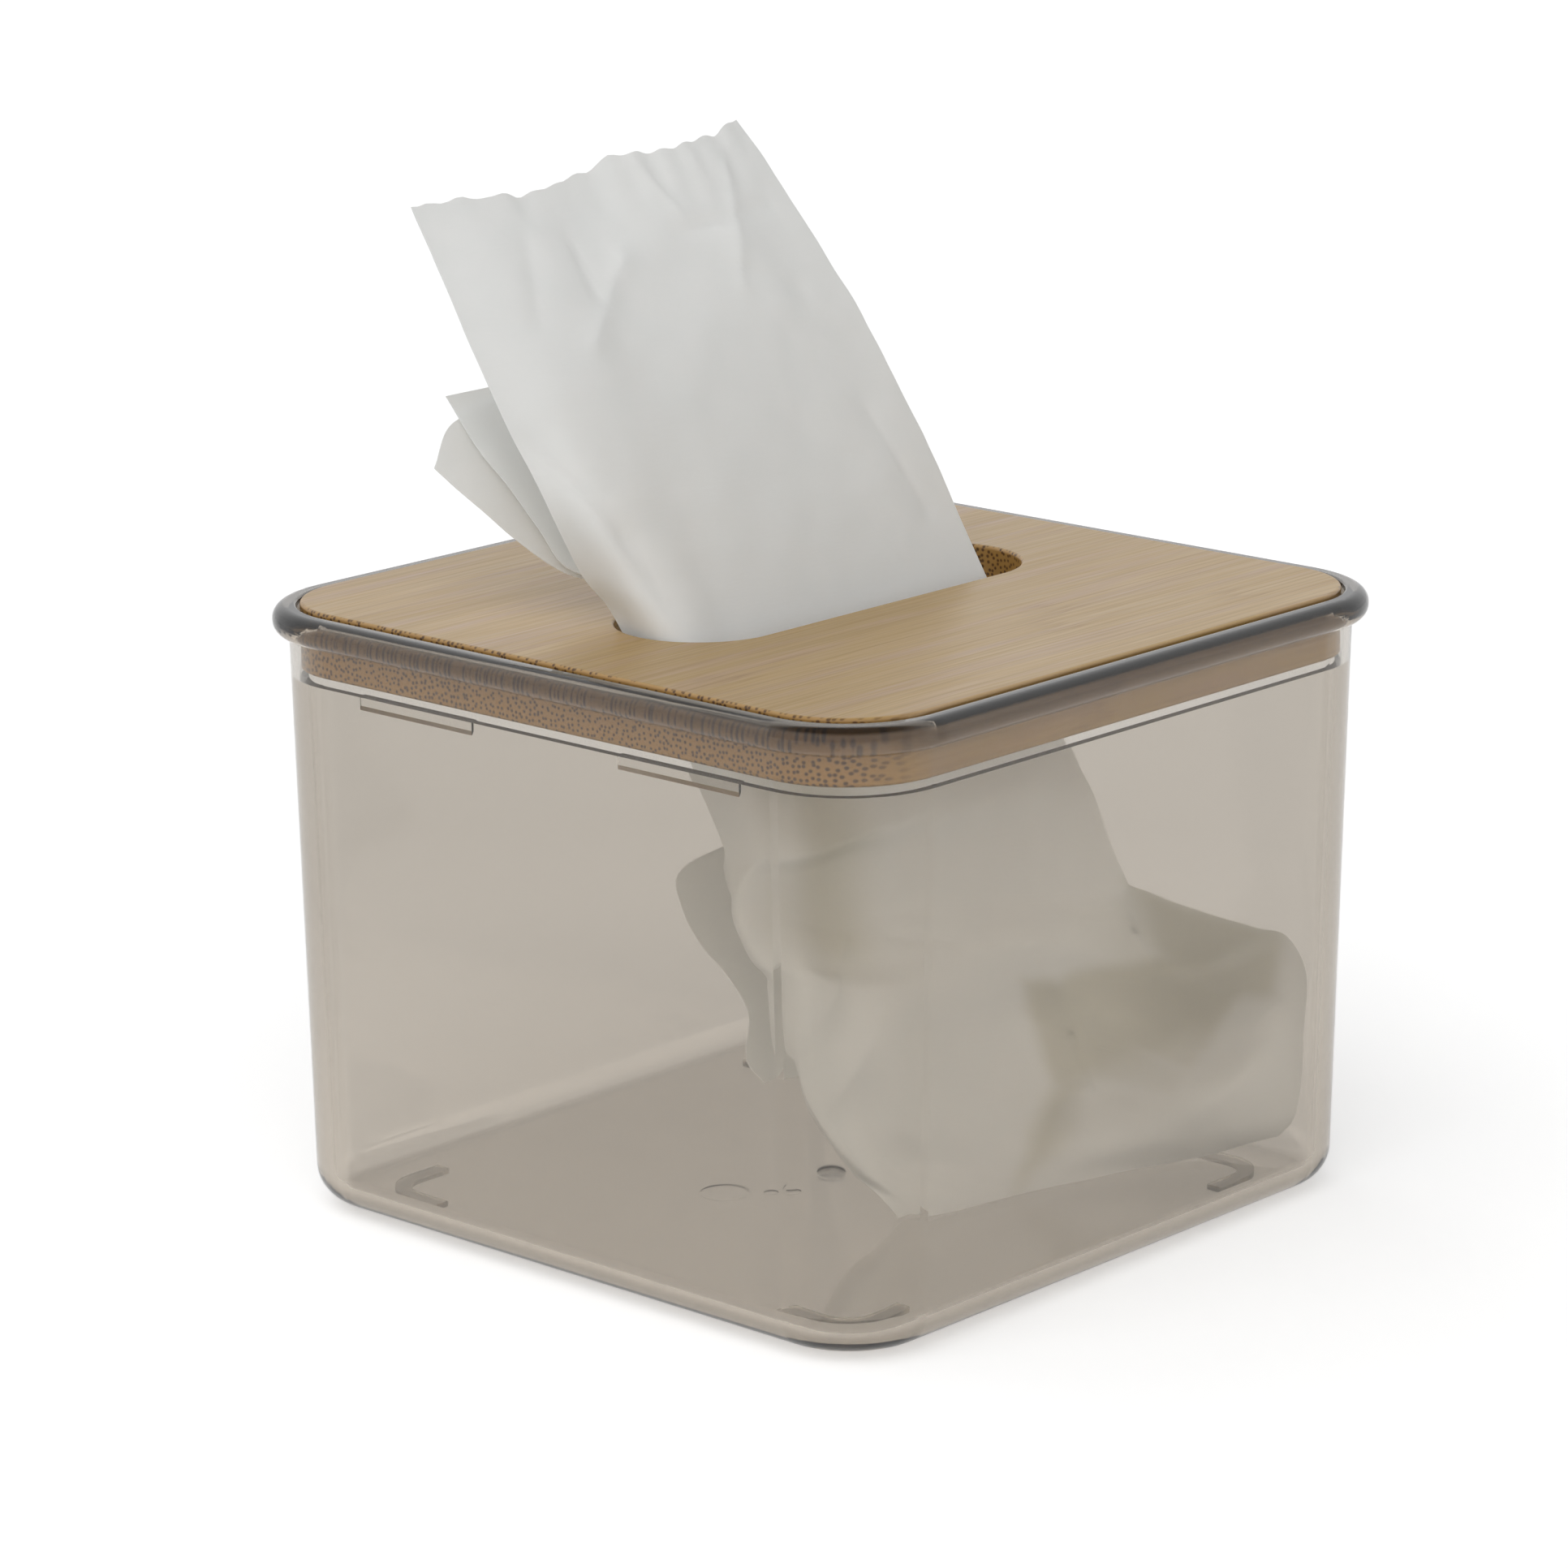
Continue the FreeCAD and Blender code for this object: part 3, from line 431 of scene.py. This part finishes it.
# Little light gets into the deep folds under the lid: the sheet's own attribute marks them, and there the
# paper's colour is darkened to olive as painted shade.
fold_shade_share = add_node(tree, "ShaderNodeAttribute", attribute_name="fold")
white = add_node(tree, "ShaderNodeMix", {
    "Factor": fold_shade_share.outputs["Fac"], "A": white.outputs[2], "B": linear("#AA9E5A")}, data_type="RGBA")
ridges = add_node(tree, "ShaderNodeBump", {
    "Height": crepe.outputs[0], "Strength": 0.25, "Distance": 0.1 * MM})
matt = add_node(tree, "ShaderNodeBsdfPrincipled", {
    "Base Color": white.outputs[2], "Roughness": 0.95, "IOR": 1.45, "Specular IOR Level": 0.2,
    "Normal": ridges.outputs[0]})
through = add_node(tree, "ShaderNodeBsdfTranslucent", {
    "Color": white.outputs[2], "Normal": ridges.outputs[0]})
thin = add_node(tree, "ShaderNodeMixShader", {
    0: TRANSLUCENT_SHARE, 1: matt.outputs[0], 2: through.outputs[0]})
add_node(tree, "ShaderNodeOutputMaterial", {"Surface": thin.outputs[0]})
print("tissue paper made")

# %% [markdown]
# ## A sheet through rows of points
# A drawn tissue is one smooth sheet with soft folds. A cloth simulation would fall into folds of its
# own, and these folds have to lie where the photograph shows them. So a few rows of points are given,
# from the right edge to the left, and the sheet is a fine grid laid through them: a Bezier curve
# runs along each column and then across each row, and small crumples follow from noise.

# %% Helpers for sheets
CELL = 0.85 * MM
PAPER_THICKNESS = 0.1 * MM
# The rest is in millimetres: the lid's top, how far the tissue leans to the left for each millimetre up,
# how soft the outline of a fold's shade is, and how far from the lid the paper is free to crumple.
LID_TOP = 85.4
SIDE_SLOPE = 0.1405
ZONE_BLUR = 2.5
FREE_REACH = 14


def smooth_line(points, counts):
    """A smooth curve through the points, with the given count of steps between each two."""
    line = []
    padded = [points[0] * 2 - points[1], *points, points[-1] * 2 - points[-2]]
    for before, start, end, after, count in zip(padded, padded[1:], padded[2:], padded[3:], counts):
        reach = (end - start).length / 3
        leave = start + (end - before).normalized() * reach
        arrive = end - (after - start).normalized() * reach
        line.extend(geometry.interpolate_bezier(start, leave, arrive, end, count + 1)[:-1])
    return line + [points[-1]]


def step_counts(lines):
    """How many cells fit between neighbouring points, on the mean of several lines."""
    gaps = [[(b - a).length for a, b in zip(line, line[1:])] for line in lines]
    return [max(2, round(sum(gap) / len(gap) / CELL)) for gap in zip(*gaps)]


def blend_line(values, counts):
    """Values that change softly from each one to the next."""
    line = []
    for start, end, count in zip(values, values[1:], counts):
        shares = [step / count for step in range(count)]
        line.extend(start + (end - start) * share * share * (3 - 2 * share) for share in shares)
    return line + [values[-1]]


def lay_grid(rows, folds):
    """The grid's points, and how much painted shade from the folds each one gets."""
    rows = [[Vector(point) * MM for point in row] for row in rows]
    columns = list(zip(*rows))
    down = step_counts(columns)
    across = step_counts(rows)
    fine_columns = [smooth_line(list(column), down) for column in columns]
    fine_folds = [blend_line(column, down) for column in zip(*folds)]
    points = [smooth_line(list(row), across) for row in zip(*fine_columns)]
    return points, [blend_line(row, across) for row in zip(*fine_folds)]


def panel_place(spot):
    """How far a point lies above the lid's top, and its place on the leaning panel: across and up."""
    rise = spot.z / MM - LID_TOP
    return rise, Vector((spot.x / MM + SIDE_SLOPE * rise, rise))


def zone_shade(spot, zones):
    """How much painted shade a point gets in a shaded fold, from 0 to 1.

    A zone's corners run anticlockwise on the panel. It ends at a given Y, so what hangs in front of it
    stays light.
    """
    place = panel_place(spot)[1]
    depth = 0
    for zone_fold, front_end, corners in zones:
        corners = [Vector(corner) for corner in corners]
        sides = zip(corners, corners[1:] + corners[:1])
        inside = min((end - start).normalized().cross(place - start) for start, end in sides)
        inside = min(inside, spot.y / MM - front_end)
        share = max(0, min(1, inside / ZONE_BLUR + 0.5))
        depth = max(depth, zone_fold * share)
    return depth


def make_sheet(name, rows, crumple, tub_fold_shade=(), zones=()):
    """A sheet through the rows. Painted fold shade is given for the first rows, and the rest have none."""
    no_folds = [[0] * len(rows[0])] * (len(rows) - len(tub_fold_shade))
    grid, folds = lay_grid(rows, [*tub_fold_shade, *no_folds])
    last_row = len(grid) - 1
    last_column = len(grid[0]) - 1
    form = bmesh.new()
    bmesh.ops.create_grid(form, x_segments=last_column, y_segments=last_row, size=0.5)
    paper_map = form.loops.layers.uv.new("paper")
    fold_shade_mark = form.verts.layers.float.new("fold")
    for face in form.faces:
        face.smooth = True
        for loop in face.loops:
            across = (loop.vert.co.x + 0.5) * last_column * CELL
            along = (loop.vert.co.y + 0.5) * last_row * CELL
            loop[paper_map].uv = (across, along)
    for edge in form.edges:
        edge.smooth = not edge.is_boundary
    for vert in form.verts:
        row = round((vert.co.y + 0.5) * last_row)
        column = round((vert.co.x + 0.5) * last_column)
        vert.co = grid[row][column]
        vert[fold_shade_mark] = max(folds[row][column], zone_shade(vert.co, zones))
    form.normal_update()
    moved = [(vert, vert.co + crumple(vert.co, vert.normal)) for vert in form.verts]
    for vert, spot in moved:
        vert.co = spot
    form.normal_update()
    mesh = bpy.data.meshes.new(name)
    form.to_mesh(mesh)
    area = sum(face.calc_area() for face in form.faces)
    form.free()
    sheet = bpy.data.objects.new(name, mesh)
    scene.collection.objects.link(sheet)
    mesh.materials.append(tissue_paper)
    thickness = sheet.modifiers.new("thickness", "SOLIDIFY")
    thickness.thickness = PAPER_THICKNESS
    thickness.offset = 0
    print(name, "cells", last_column, "x", last_row, "area", round(area * 1e4, 1), "cm2")
    return sheet, area


print("cell", CELL / MM, "mm")

# %% [markdown]
# ## The front sheet
# The large panel comes up from the tub's floor, where its lower edge lies, passes the slot along the
# near edge, and stands up leaning back and a little to the left. Below the lid it spreads: the right
# edge flares out into a flap, and the left edge makes a rounded fold. Points in the slot and above it
# are given along the lean: how far across, how far from the slot's near edge, and how far up. Where the
# sheet is folded in the tub, zones mark the parts that little light reaches, and the paper is painted
# darker there as shade.

# %% Points of the front sheet
# Where the sheet meets the lid's top, in millimetres from the middle, and how steeply it leans back.
NEAR = -5.71
BACK_SLOPE = 0.4877


def leaning(rise, points, slope=BACK_SLOPE, start=NEAR):
    return [(x - SIDE_SLOPE * rise, start + y + slope * rise, LID_TOP + rise) for x, y in points]


in_tub = [
    [(47.6, -41.0, 5.5), (36.5, -34.2, 3.0), (24.5, -30.2, 2.95), (13.5, -27.0, 2.95),
     (6.0, -25.2, 2.95), (-2.0, -23.8, 2.95), (-7.6, -22.6, 3.2)],
    [(46.8, -44.6, 9.9), (33.6, -38.4, 8.3), (19.9, -27.8, 7.8), (3.7, -21.8, 8.7),
     (-5.0, -19.8, 9.6), (-14.3, -18.5, 11.7), (-13.5, -14.5, 12.0)],
    [(47.2, -45.6, 20.3), (32.6, -40.2, 14.8), (26.5, -23.1, 12.7), (-2.7, -22.2, 17.3),
     (-12.1, -19.4, 17.9), (-22.9, -16.4, 21.4), (-20.5, -12.5, 21.0)],
    [(47.6, -45.6, 29.3), (36.9, -34.5, 17.9), (26.9, -19.1, 21.5), (-6.5, -22.6, 28.1),
     (-16.9, -20.1, 28.9), (-25.6, -16.4, 31.4), (-22.0, -12.0, 30.5)],
    [(47.6, -42.0, 34.3), (46.6, -24.4, 24.7), (21.4, -22.1, 30.7), (-4.6, -21.7, 34.9),
     (-16.8, -18.7, 36.7), (-26.2, -17.3, 39.9), (-22.0, -12.0, 38.0)],
    [(46.6, -37.8, 34.8), (44.7, -23.8, 28.1), (19.1, -24.0, 35.7), (-3.8, -19.6, 37.7),
     (-16.2, -17.0, 39.0), (-28.7, -16.1, 42.9), (-23.0, -11.0, 41.0)],
    [(37.6, -25.0, 39.7), (37.4, -23.2, 35.8), (18.0, -22.7, 39.7), (-4.0, -17.9, 41.4),
     (-16.0, -15.6, 42.7), (-30.8, -14.9, 48.2), (-25.0, -9.5, 46.0)],
    [(35.6, -24.3, 40.8), (29.4, -21.9, 40.8), (16.5, -21.1, 42.7), (-3.4, -17.0, 44.0),
     (-16.5, -14.8, 44.9), (-30.8, -14.5, 50.6), (-26.0, -9.0, 48.5)],
    [(31.7, -21.4, 51.7), (24.4, -20.2, 51.8), (14.6, -19.0, 52.2), (-2.3, -16.8, 52.4),
     (-18.0, -15.0, 53.1), (-30.0, -15.2, 54.8), (-28.5, -9.0, 54.0)],
]
slot_points = [(26.3, 0), (17.5, 0.05), (8.8, 0.2), (-9, 0.25), (-24, 0.2), (-33, 2.2), (-34, 8.9)]
in_slot = [
    leaning(-27.6, slot_points),
    leaning(-10, slot_points),
    leaning(1, [(26.3, 0), (17.5, 0.05), (8.8, 0.2), (-9, 0.25), (-24, 0.2), (-34, 1.7), (-33.2, 12)]),
]
above_lid = [
    leaning(7.6, [(26.4, 0.1), (17.5, 0), (8.8, 0), (-7, 0.1), (-21.9, 0.3), (-34.8, 1.8), (-36.6, 10.4)]),
    leaning(19.6, [(26.2, 0), (18, -0.1), (9.5, -0.2), (-5, 0.1), (-19, 0.5), (-36.5, 0.8), (-41.3, 5.8)]),
    leaning(34.6, [(24.8, 0), (17, -0.5), (9, -1), (-5, -0.2), (-18.5, 0.8), (-33.5, 1.1), (-43.2, 4.5)]),
    leaning(48, [(21.6, 0), (13.8, -0.8), (6, -1.5), (-7.5, -0.3), (-20, 0.9), (-33, 0.6), (-43.9, 3)]),
]
# The cut edge at the top is wavy, so each of its points has a rise of its own.
top_edge = (
    (18.2, 0, 60.6), (11, -0.8, 59.5), (3, -1.5, 58.8), (-6.6, -0.6, 58.9), (-21.5, 0.8, 56),
    (-34, 0.4, 56.4), (-44.6, 1.5, 56.7))
above_lid.append([leaning(rise, [(x, y)])[0] for x, y, rise in top_edge])
front_rows = in_tub + in_slot + above_lid
print("front sheet from", len(front_rows), "rows of", len(front_rows[0]), "points")

# %% Creases of the front sheet
# Each crease runs between two points of the panel (across, up), so deep and so wide, in millimetres.
CREASES = (
    ((-13.6, 45.9), (-25.8, 36.1), -0.9, 1.6),
    ((-20.8, 48.7), (-21.1, 41.2), 0.7, 1.2),
    ((-40.7, 25.1), (-34.3, 12.9), 0.9, 1.8),
    ((-34.3, 12.9), (-32.6, 4.0), 0.7, 1.8),
    ((12.0, 57.2), (4.5, 40.7), -0.6, 1.4),
    ((-29.0, 50.0), (-33.0, 40.0), 0.5, 1.3),
    ((2.0, 44.0), (16.0, 38.5), 0.4, 1.2),
    ((-5.0, 58.0), (-1.0, 51.0), -0.5, 1.2),
    ((18.0, 22.0), (21.0, 8.0), 0.4, 1.2),
)
# In the tub the flap is folded along sharper lines.
TUB_CREASES = (
    ((13.7, -54.7), (17.9, -63.9), -1.3, 2.0),
    ((17.9, -63.9), (16.3, -72.7), -1.3, 2.0),
    ((16.3, -72.7), (9.0, -77.6), -1.0, 2.0),
    ((29.3, -44.6), (32.0, -53.0), 1.2, 1.8),
    ((32.0, -53.0), (36.6, -58.5), 1.2, 1.8),
    ((-31.5, -47.0), (-32.4, -56.0), -0.7, 1.6),
    ((-29.0, -50.0), (-20.0, -43.5), -0.7, 1.3),
    ((-10.2, -44.0), (-2.5, -46.4), 0.6, 1.2),
    ((-27.0, -63.0), (-18.0, -52.0), -0.6, 1.5),
)
# A row of pressed dots holds the two plies together. Each is a crease 1 mm long.
DOT_COUNT = 10
DOT_STEP = 2.1
DOT_RISE = 0.15
DOTS = [
    ((DOT_STEP * step - 3, 48.2 + DOT_RISE * step), (DOT_STEP * step - 2, 48.3 + DOT_RISE * step), 0.45, 0.6)
    for step in range(DOT_COUNT)
]
# Waves of the paper, from broad to fine: length and height, and where their noise starts.
WAVES = ((26, 0.9, (0, 0, 0)), (9, 0.4, (7, 3, 1)), (4, 0.12, (1, 5, 8)))
# The cut edge is ragged: the rise at which this begins, how soon it is full, and its length and height.
RAGGED_FROM = 50
RAGGED_REACH = 6
RAGGED_LENGTH = 3.5
RAGGED_HEIGHT = 0.9
# The middle of the slot's depth, from the lid's top.
SLOT_MIDDLE = -4


def crease_depth(place, start, end, depth, width):
    nearest, share = geometry.intersect_point_line(place, Vector(start), Vector(end))
    if share < 0 or share > 1:
        nearest = Vector(end if share > 1 else start)
    return depth * math.exp(-(place - nearest).length / width)


def front_crumple(spot, normal):
    """How far a point moves: waves that die out at the lid, the creases, and a ragged top edge."""
    rise, place = panel_place(spot)
    clear_of_lid = min(1, abs(rise - SLOT_MIDDLE) / FREE_REACH)
    waves = 0
    for length, wave_height, start in WAVES:
        waves += noise.noise(spot / (length * MM) + Vector(start)) * wave_height
    creases = (*CREASES, *DOTS) if rise > 0 else TUB_CREASES
    pressed = sum(crease_depth(place, *crease) for crease in creases)
    depth = waves * clear_of_lid + pressed
    near_top = max(0, min(1, (rise - RAGGED_FROM) / RAGGED_REACH))
    ragged = noise.noise(Vector((place.x / RAGGED_LENGTH, 2, 6))) * RAGGED_HEIGHT * near_top
    return (normal * depth + Vector((0, 0, ragged))) * MM


print("creases", len(CREASES), "above the lid,", len(TUB_CREASES), "in the tub, and", len(DOTS), "dots")

# %% Front sheet
# How much painted shade each point of the first rows gets in the folds, from 0 to 1. The lowest four rows
# get none.
tub_fold_shade = [
    *[[0] * 7] * 4,
    [0, 0.05, 0, 0, 0, 0, 0],
    [0.05, 0.05, 0, 0, 0.1, 0, 0],
    [0.05, 0.05, 0, 0, 0.22, 0, 0],
    *[[0, 0, 0, 0, 0.22, 0, 0]] * 3,
]
# The flap's fold is painted as a dark wedge of shade that narrows towards the floor, and the flap's inner
# side is painted in shade.
# Each zone has a depth of shade, the Y at which it ends, and its corners.
FOLD_SHADE_ZONES = (
    (0.27, -35, ((8.2, -54.4), (13.7, -64.4), (25.6, -68.2), (40.0, -63.5), (38.5, -57.5))),
    (0.27, -35, ((12.8, -61.8), (12.5, -72.5), (20.3, -70.5), (26.5, -66.0))),
    (0.24, -35, ((16.0, -69.5), (3.6, -75.6), (-2.3, -81.9), (16.5, -72.0))),
    (0.24, -41, ((29.7, -44.9), (38.6, -63.0), (42.0, -60.0), (40.7, -51.0))),
)
front, front_area = make_sheet("tissue_panel", front_rows, front_crumple, tub_fold_shade, FOLD_SHADE_ZONES)
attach(front, "tissue")
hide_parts("tissue_front")

# %% [markdown]
# ## The rear layers
# Behind the panel two layers of the same tissue lie back over the lid, one on the other, and their
# corners show at the left. Each is a sheet of its own through rows of points, and the lower one keeps
# a little under the upper one.

# %% Upper rear layer
# Where the layers meet the lid's top and how steeply they lie back, and the middle of the lid's height.
FAR = 10.85
REAR_SLOPE = 0.81
LID_MIDDLE = 81
# Both layers have one kind of wave.
REAR_WAVE_LENGTH = 11
REAR_WAVE_HEIGHT = 0.5


def lying_back(rise, points):
    return leaning(rise, points, slope=REAR_SLOPE, start=FAR)


straight = [(19, -0.5), (8, -0.5), (-4, -0.5), (-21, -0.5)]
upper_rows = [
    [(12, -5, 23), (2, -6.5, 23), (-10, -8, 23), (-21.4, -9.2, 23)],
    [(14, -5, 26), (3, -6.5, 26), (-10, -7.5, 26), (-22.9, -7.5, 26)],
    [(16, -4, 32.7), (4, -5.5, 32.7), (-10, -7, 32.7), (-22.6, -7.8, 32.7)],
    [(17, -3.5, 37.7), (4.5, -4.5, 37.7), (-10.5, -5.5, 37.7), (-23.7, -5.2, 37.7)],
    [(18, -3, 42.5), (4, -3.5, 42.5), (-12, -3.5, 42.5), (-26.4, -2.2, 42.5)],
    [(19, -3, 47.4), (3.5, -3, 47.4), (-13, -2.5, 47.4), (-27.9, -0.5, 47.4)],
    [(20, -3, 51.7), (4, -2.8, 51.7), (-13, -2, 51.7), (-27.5, 0.3, 51.7)],
    *(leaning(rise, straight, start=FAR) for rise in (-27.6, -10, 1)),
    lying_back(6.4, [(18.6, 0.2), (6, 0), (-10, -0.2), (-31.7, 0)]),
    lying_back(11.5, [(18, 0.9), (5, 0.6), (-10, 0.4), (-32.7, -0.7)]),
    lying_back(16.8, [(16.5, 1.2), (4, 0.8), (-10, 0.4), (-33.7, -1)]),
    lying_back(21.4, [(15, 1), (3, 0.4), (-11, 0), (-34.5, -1)]),
    lying_back(28.1, [(13, 2), (1, 1.4), (-10, 0.8), (-33.2, 0.1)]),
]


def rear_crumple(spot, normal):
    clear_of_lid = min(1, abs(spot.z / MM - LID_MIDDLE) / FREE_REACH)
    wave = noise.noise(spot / (REAR_WAVE_LENGTH * MM) + Vector((2, 9, 4)))
    return normal * wave * REAR_WAVE_HEIGHT * clear_of_lid * MM


upper, upper_area = make_sheet("tissue_rear_upper", upper_rows, rear_crumple)
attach(upper, "tissue")
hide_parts("tissue_rear")

# %% Lower rear layer
lower_rows = [
    leaning(-20, [(18, 0.2), (6, 0.2), (-6, 0.2), (-20, 0.2)], start=FAR),
    leaning(1, [(18, 0.2), (6, 0.2), (-6, 0.2), (-21, 0.2)], start=FAR),
    lying_back(5.5, [(17, 1.6), (4, 1.4), (-12, 1.2), (-31.5, 1.2)]),
    lying_back(10.6, [(16, 2.4), (3, 2.0), (-14, 1.6), (-36.6, 0.8)]),
    lying_back(15, [(15, 2.6), (2, 2.2), (-16, 1.6), (-39.3, 0.6)]),
]
# The top edge falls towards its left corner.
lower_edge = ((14, 2.6, 27), (-8, 2, 27), (-33.7, 1.2, 24.8), (-42.5, 0.4, 20.4))
lower_rows.append([lying_back(rise, [(x, y)])[0] for x, y, rise in lower_edge])
lower, lower_area = make_sheet("tissue_rear_lower", lower_rows, rear_crumple)
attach(lower, "tissue")
